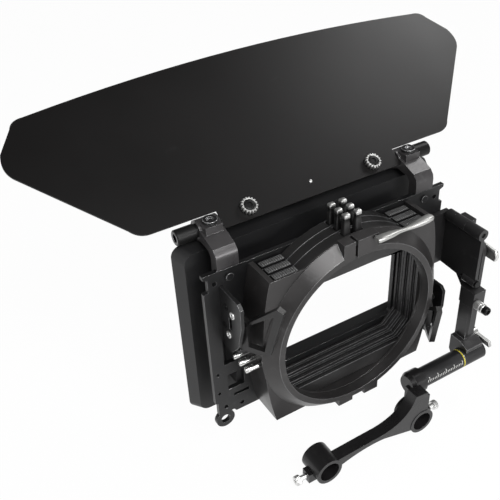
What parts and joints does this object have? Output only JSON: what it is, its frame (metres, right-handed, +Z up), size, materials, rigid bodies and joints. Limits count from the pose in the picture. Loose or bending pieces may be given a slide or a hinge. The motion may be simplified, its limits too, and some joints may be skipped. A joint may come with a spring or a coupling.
{
  "type": "swing-away matte box",
  "caption": "Swing-away camera matte box with a top flag, sliding filter trays and a round rear collar, hinged on a column above a bridge for twin rods.",
  "frame": {"origin": "midway between the two rod axes, on the rear face of the bridge", "axes": "+Y the way the lens looks, +X to the right of a person behind the camera, +Z up"},
  "size_m": [0.4438, 0.2228, 0.3121],
  "materials": {
    "black_metal": "black anodised, satin",
    "grey_metal": "dark grey anodised, satin",
    "black_plastic": "fine matte",
    "chrome": "machined and polished",
    "label": "ribbed grey",
    "yellow": "painted line"
  },
  "bodies": {
    "bridge": {"rod_bridge": "black_metal", "cross_tube": "black_metal", "scale_ring": "yellow"},
    "rod_screw_left": {"rod_screw_left": "chrome"},
    "rod_screw_right": {"rod_screw_right": "chrome"},
    "foot": {"column_foot": "black_metal"},
    "foot_lever": {"foot_lever": "chrome"},
    "height": {"height_slide": "grey_metal", "hinge_pin": "chrome"},
    "height_knob": {"height_knob": "chrome", "height_knob_cap": "black_plastic"},
    "swing_lever": {"swing_lever_hub": "black_plastic", "swing_lever": "chrome"},
    "lock_pin": {"swing_lock_pin": "chrome"},
    "box": {"hinge_leaf": "black_metal", "mount_plate": "black_metal", "flag_bracket_left": "grey_metal", "flag_bracket_right": "grey_metal", "bracket_cap_left": "grey_metal", "bracket_cap_right": "grey_metal", "bracket_screw_left": "black_metal", "bracket_screw_right": "black_metal", "sunshade": "black_plastic", "filter_stage": "black_metal", "rear_collar": "black_metal", "collar_screw": "chrome", "side_plate_left": "black_metal", "side_plate_right": "black_metal", "side_bush_left_1": "chrome", "side_bush_left_2": "chrome", "side_bush_right_1": "chrome", "side_bush_right_2": "chrome", "loop_pin_left": "chrome", "loop_pin_right": "chrome"},
    "collar_lever": {"collar_lever": "chrome"},
    "tray_1": {"filter_tray_1": "black_metal", "tray_grip_left_1": "label", "tray_grip_right_1": "label"},
    "latch_left_1": {"tray_latch_left_1": "grey_metal"},
    "latch_right_1": {"tray_latch_right_1": "grey_metal"},
    "stage_pin_1": {"stage_pin_1": "chrome"},
    "tray_2": {"filter_tray_2": "black_metal", "tray_grip_left_2": "label", "tray_grip_right_2": "label"},
    "latch_left_2": {"tray_latch_left_2": "grey_metal"},
    "latch_right_2": {"tray_latch_right_2": "grey_metal"},
    "stage_pin_2": {"stage_pin_2": "chrome"},
    "tray_3": {"filter_tray_3": "black_metal", "tray_grip_left_3": "label", "tray_grip_right_3": "label"},
    "latch_left_3": {"tray_latch_left_3": "grey_metal"},
    "latch_right_3": {"tray_latch_right_3": "grey_metal"},
    "stage_pin_3": {"stage_pin_3": "chrome"},
    "side_loop_left": {"side_loop_left": "black_metal"},
    "side_loop_right": {"side_loop_right": "black_metal"},
    "flag": {"flag_bar": "black_metal", "top_flag": "black_plastic", "flag_rivet": "chrome"},
    "thumbscrew_left": {"flag_thumbscrew_left": "chrome"},
    "thumbscrew_right": {"flag_thumbscrew_right": "chrome"}
  },
  "joints": [
    {"name": "rod_screw_left", "type": "hinge", "parent": "bridge", "child": "rod_screw_left", "pos_m": [-0.07, 0.012, -0.006], "axis": [1, 0, 0], "range_deg": [0, 180]},
    {"name": "rod_screw_right", "type": "hinge", "parent": "bridge", "child": "rod_screw_right", "pos_m": [0.07, 0.012, -0.004], "axis": [1, 0, 0], "range_deg": [0, 180]},
    {"name": "foot_slide", "type": "slide", "parent": "bridge", "child": "foot", "axis": [1, 0, 0], "range_m": [-0.02, 0.003]},
    {"name": "foot_lever", "type": "hinge", "parent": "foot", "child": "foot_lever", "pos_m": [0.137, 0.032, 0.0422], "axis": [1, 0, 0], "range_deg": [-90, 0]},
    {"name": "height_slide", "type": "slide", "parent": "foot", "child": "height", "axis": [0, 0, 1], "range_m": [0, 0.025]},
    {"name": "height_knob", "type": "hinge", "parent": "height", "child": "height_knob", "pos_m": [0.1235, 0.015, 0.093], "axis": [0, -1, 0], "range_deg": [0, 180]},
    {"name": "swing_lever", "type": "hinge", "parent": "height", "child": "swing_lever", "pos_m": [0.1343, 0.037, 0.1388], "axis": [1, 0, 0], "range_deg": [-80, 0]},
    {"name": "lock_pin", "type": "slide", "parent": "box", "child": "lock_pin", "axis": [0, -1, 0], "range_m": [0, 0.008], "stiffness_N_per_m": 200},
    {"name": "box_swing", "type": "hinge", "parent": "height", "child": "box", "pos_m": [0.125, 0.047, 0.164], "axis": [0, 1, 0], "range_deg": [0, 100]},
    {"name": "collar_lever", "type": "hinge", "parent": "box", "child": "collar_lever", "pos_m": [0.011, 0.029, 0.204], "axis": [0, -1, 0], "range_deg": [0, 85]},
    {"name": "tray_1", "type": "slide", "parent": "box", "child": "tray_1", "axis": [0, 0, 1], "range_m": [0, 0.16]},
    {"name": "latch_left_1", "type": "slide", "parent": "tray_1", "child": "latch_left_1", "axis": [1, 0, 0], "range_m": [0, 0.0015], "stiffness_N_per_m": 200},
    {"name": "latch_right_1", "type": "slide", "parent": "tray_1", "child": "latch_right_1", "axis": [-1, 0, 0], "range_m": [0, 0.0015], "stiffness_N_per_m": 200},
    {"name": "tray_2", "type": "slide", "parent": "box", "child": "tray_2", "axis": [0, 0, 1], "range_m": [0, 0.16]},
    {"name": "latch_left_2", "type": "slide", "parent": "tray_2", "child": "latch_left_2", "axis": [1, 0, 0], "range_m": [0, 0.0015], "stiffness_N_per_m": 200},
    {"name": "latch_right_2", "type": "slide", "parent": "tray_2", "child": "latch_right_2", "axis": [-1, 0, 0], "range_m": [0, 0.0015], "stiffness_N_per_m": 200},
    {"name": "tray_3", "type": "slide", "parent": "box", "child": "tray_3", "axis": [0, 0, 1], "range_m": [0, 0.16]},
    {"name": "latch_left_3", "type": "slide", "parent": "tray_3", "child": "latch_left_3", "axis": [1, 0, 0], "range_m": [0, 0.0015], "stiffness_N_per_m": 200},
    {"name": "latch_right_3", "type": "slide", "parent": "tray_3", "child": "latch_right_3", "axis": [-1, 0, 0], "range_m": [0, 0.0015], "stiffness_N_per_m": 200},
    {"name": "stage_pin_1", "type": "slide", "parent": "box", "child": "stage_pin_1", "axis": [-1, 0, 0], "range_m": [0, 0.005], "stiffness_N_per_m": 100},
    {"name": "stage_pin_2", "type": "slide", "parent": "box", "child": "stage_pin_2", "axis": [-1, 0, 0], "range_m": [0, 0.005], "stiffness_N_per_m": 100},
    {"name": "stage_pin_3", "type": "slide", "parent": "box", "child": "stage_pin_3", "axis": [-1, 0, 0], "range_m": [0, 0.005], "stiffness_N_per_m": 100},
    {"name": "side_loop_left", "type": "hinge", "parent": "box", "child": "side_loop_left", "pos_m": [-0.1005, 0.056, 0.1448], "axis": [0, 0, 1], "range_deg": [-30, 0]},
    {"name": "side_loop_right", "type": "hinge", "parent": "box", "child": "side_loop_right", "pos_m": [0.1005, 0.056, 0.0688], "axis": [0, 0, 1], "range_deg": [0, 30]},
    {"name": "flag_tilt", "type": "hinge", "parent": "box", "child": "flag", "pos_m": [0, 0.1058, 0.2145], "axis": [1, 0, 0], "range_deg": [-30, 15]},
    {"name": "thumbscrew_left", "type": "hinge", "parent": "flag", "child": "thumbscrew_left", "pos_m": [-0.0612, 0.10226, 0.22174], "axis": [0, -0.5476, 0.8368], "range_deg": [0, 180]},
    {"name": "thumbscrew_right", "type": "hinge", "parent": "flag", "child": "thumbscrew_right", "pos_m": [0.0612, 0.10226, 0.22174], "axis": [0, -0.5476, 0.8368], "range_deg": [0, 180]}
  ],
  "couplings": [
    {"joint": "latch_right_1", "follows": "latch_left_1", "ratio": 1},
    {"joint": "latch_right_2", "follows": "latch_left_2", "ratio": 1},
    {"joint": "latch_right_3", "follows": "latch_left_3", "ratio": 1}
  ]
}
